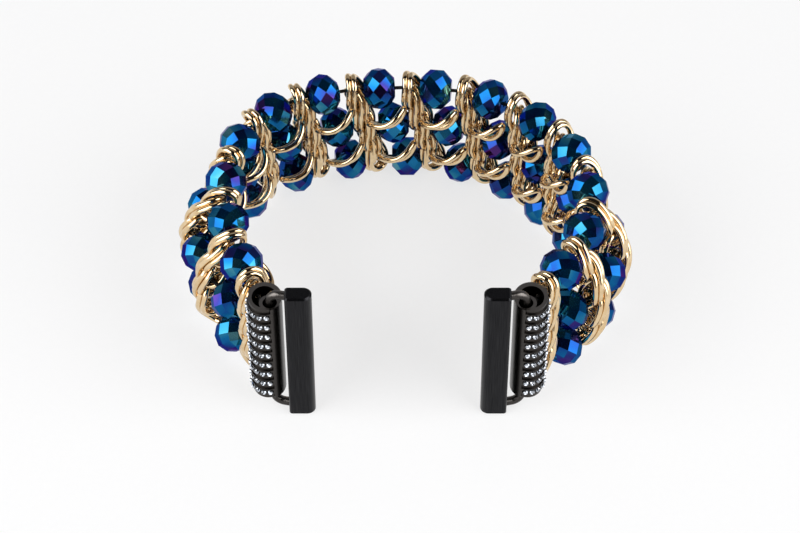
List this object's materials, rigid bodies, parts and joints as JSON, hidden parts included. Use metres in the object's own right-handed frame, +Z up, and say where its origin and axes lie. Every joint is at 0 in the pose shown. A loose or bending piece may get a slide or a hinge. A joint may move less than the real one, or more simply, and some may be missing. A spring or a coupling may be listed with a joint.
{
  "type": "bead watch band",
  "caption": "Elastic watch band of faceted dark blue glass beads and gold chain rungs, with crystal-set gunmetal barrels, wire bails and slide-in lugs.",
  "frame": {"origin": "on the surface that the band stands on, under the middle of its footprint", "axes": "+Z up across the band's width; the lugs are at -Y and the back of the loop is at +Y; +X runs from the left lug to the right one"},
  "size_m": [0.0884, 0.0698, 0.0324],
  "materials": {
    "bead_glass": "mirror plated",
    "gold_chain": "polished",
    "elastic_cord": "satin",
    "gunmetal": "satin",
    "black_metal": "satin",
    "spring_steel": "brushed",
    "crystal": "polished"
  },
  "bodies": {
    "column_01": {"beads_01": "bead_glass", "links_01": "gold_chain", "cords_01": "elastic_cord"},
    "column_02": {"beads_02": "bead_glass", "links_02": "gold_chain", "cords_02": "elastic_cord"},
    "column_03": {"beads_03": "bead_glass", "links_03": "gold_chain", "cords_03": "elastic_cord"},
    "column_04": {"beads_04": "bead_glass", "links_04": "gold_chain", "cords_04": "elastic_cord"},
    "column_05": {"beads_05": "bead_glass", "links_05": "gold_chain", "cords_05": "elastic_cord"},
    "column_06": {"beads_06": "bead_glass", "links_06": "gold_chain", "cords_06": "elastic_cord"},
    "column_07": {"beads_07": "bead_glass", "links_07": "gold_chain", "cords_07": "elastic_cord"},
    "column_08": {"beads_08": "bead_glass", "links_08": "gold_chain", "cords_08": "elastic_cord"},
    "column_09": {"beads_09": "bead_glass", "links_09": "gold_chain", "cords_09": "elastic_cord"},
    "column_10": {"beads_10": "bead_glass", "links_10": "gold_chain", "cords_10": "elastic_cord"},
    "column_11": {"beads_11": "bead_glass", "links_11": "gold_chain", "cords_11": "elastic_cord"},
    "column_12": {"beads_12": "bead_glass", "links_12": "gold_chain", "cords_12": "elastic_cord"},
    "column_13": {"beads_13": "bead_glass", "links_13": "gold_chain", "cords_13": "elastic_cord"},
    "column_14": {"beads_14": "bead_glass", "links_14": "gold_chain", "cords_14": "elastic_cord"},
    "left_barrel": {"barrel_left": "gunmetal", "crystals_left": "crystal", "end_links_left": "gold_chain", "cord_ends_left": "elastic_cord"},
    "left_lug": {"lug_left": "black_metal", "bail_left": "gunmetal", "latch_spring_left": "spring_steel"},
    "left_button": {"latch_button_left": "spring_steel"},
    "right_barrel": {"barrel_right": "gunmetal", "crystals_right": "crystal", "end_links_right": "gold_chain", "cord_ends_right": "elastic_cord"},
    "right_lug": {"lug_right": "black_metal", "bail_right": "gunmetal", "latch_spring_right": "spring_steel"},
    "right_button": {"latch_button_right": "spring_steel"}
  },
  "joints": [
    {"name": "bend_06", "type": "hinge", "parent": "column_07", "child": "column_06", "pos_m": [-0.00795, 0.03043, 0.0162], "axis": [0, 0, -1], "range_deg": [-1.5, 7]},
    {"name": "bend_05", "type": "hinge", "parent": "column_06", "child": "column_05", "pos_m": [-0.01947, 0.02817, 0.0162], "axis": [0, 0, -1], "range_deg": [-1.5, 22]},
    {"name": "bend_04", "type": "hinge", "parent": "column_05", "child": "column_04", "pos_m": [-0.02897, 0.0212, 0.0162], "axis": [0, 0, -1], "range_deg": [-1.5, 19]},
    {"name": "bend_03", "type": "hinge", "parent": "column_04", "child": "column_03", "pos_m": [-0.03659, 0.01092, 0.0162], "axis": [0, 0, -1], "range_deg": [-1.5, 18]},
    {"name": "bend_02", "type": "hinge", "parent": "column_03", "child": "column_02", "pos_m": [-0.04052, -0.00195, 0.0162], "axis": [0, 0, -1], "range_deg": [-1.5, 21]},
    {"name": "bend_01", "type": "hinge", "parent": "column_02", "child": "column_01", "pos_m": [-0.03729, -0.01486, 0.0162], "axis": [0, 0, -1], "range_deg": [-1.5, 19]},
    {"name": "bend_07", "type": "hinge", "parent": "column_07", "child": "column_08", "pos_m": [0.00367, 0.03092, 0.0162], "axis": [0, 0, 1], "range_deg": [-1.5, 13]},
    {"name": "bend_08", "type": "hinge", "parent": "column_08", "child": "column_09", "pos_m": [0.01476, 0.02842, 0.0162], "axis": [0, 0, 1], "range_deg": [-1.5, 17]},
    {"name": "bend_09", "type": "hinge", "parent": "column_09", "child": "column_10", "pos_m": [0.02416, 0.0225, 0.0162], "axis": [0, 0, 1], "range_deg": [-1.5, 16]},
    {"name": "bend_10", "type": "hinge", "parent": "column_10", "child": "column_11", "pos_m": [0.031, 0.01401, 0.0162], "axis": [0, 0, 1], "range_deg": [-1.5, 8]},
    {"name": "bend_11", "type": "hinge", "parent": "column_11", "child": "column_12", "pos_m": [0.03729, 0.00441, 0.0162], "axis": [0, 0, 1], "range_deg": [-1.5, 15]},
    {"name": "bend_12", "type": "hinge", "parent": "column_12", "child": "column_13", "pos_m": [0.04088, -0.00764, 0.0162], "axis": [0, 0, 1], "range_deg": [-1.5, 29]},
    {"name": "bend_13", "type": "hinge", "parent": "column_13", "child": "column_14", "pos_m": [0.03622, -0.01923, 0.0162], "axis": [0, 0, 1], "range_deg": [-1.5, 25]},
    {"name": "bend_00", "type": "hinge", "parent": "column_01", "child": "left_barrel", "pos_m": [-0.02835, -0.025, 0.0162], "axis": [0, 0, -1], "range_deg": [-5, 15]},
    {"name": "bend_14", "type": "hinge", "parent": "column_14", "child": "right_barrel", "pos_m": [0.0261, -0.02611, 0.0162], "axis": [0, 0, 1], "range_deg": [-5, 10]},
    {"name": "left_bail_swing", "type": "hinge", "parent": "left_barrel", "child": "left_lug", "pos_m": [-0.02465, -0.032, 0.0162], "axis": [0, 0, -1], "range_deg": [-15, 30]},
    {"name": "left_latch_press", "type": "slide", "parent": "left_lug", "child": "left_button", "axis": [0, -1, 0], "range_m": [0, 0.0006], "stiffness_N_per_m": 800, "springref_m": -0.0005, "deforming": ["latch_spring_left"]},
    {"name": "right_bail_swing", "type": "hinge", "parent": "right_barrel", "child": "right_lug", "pos_m": [0.02235, -0.032, 0.0162], "axis": [0, 0, 1], "range_deg": [-15, 30]},
    {"name": "right_latch_press", "type": "slide", "parent": "right_lug", "child": "right_button", "axis": [0, -1, 0], "range_m": [0, 0.0006], "stiffness_N_per_m": 800, "springref_m": -0.0005, "deforming": ["latch_spring_right"]}
  ]
}
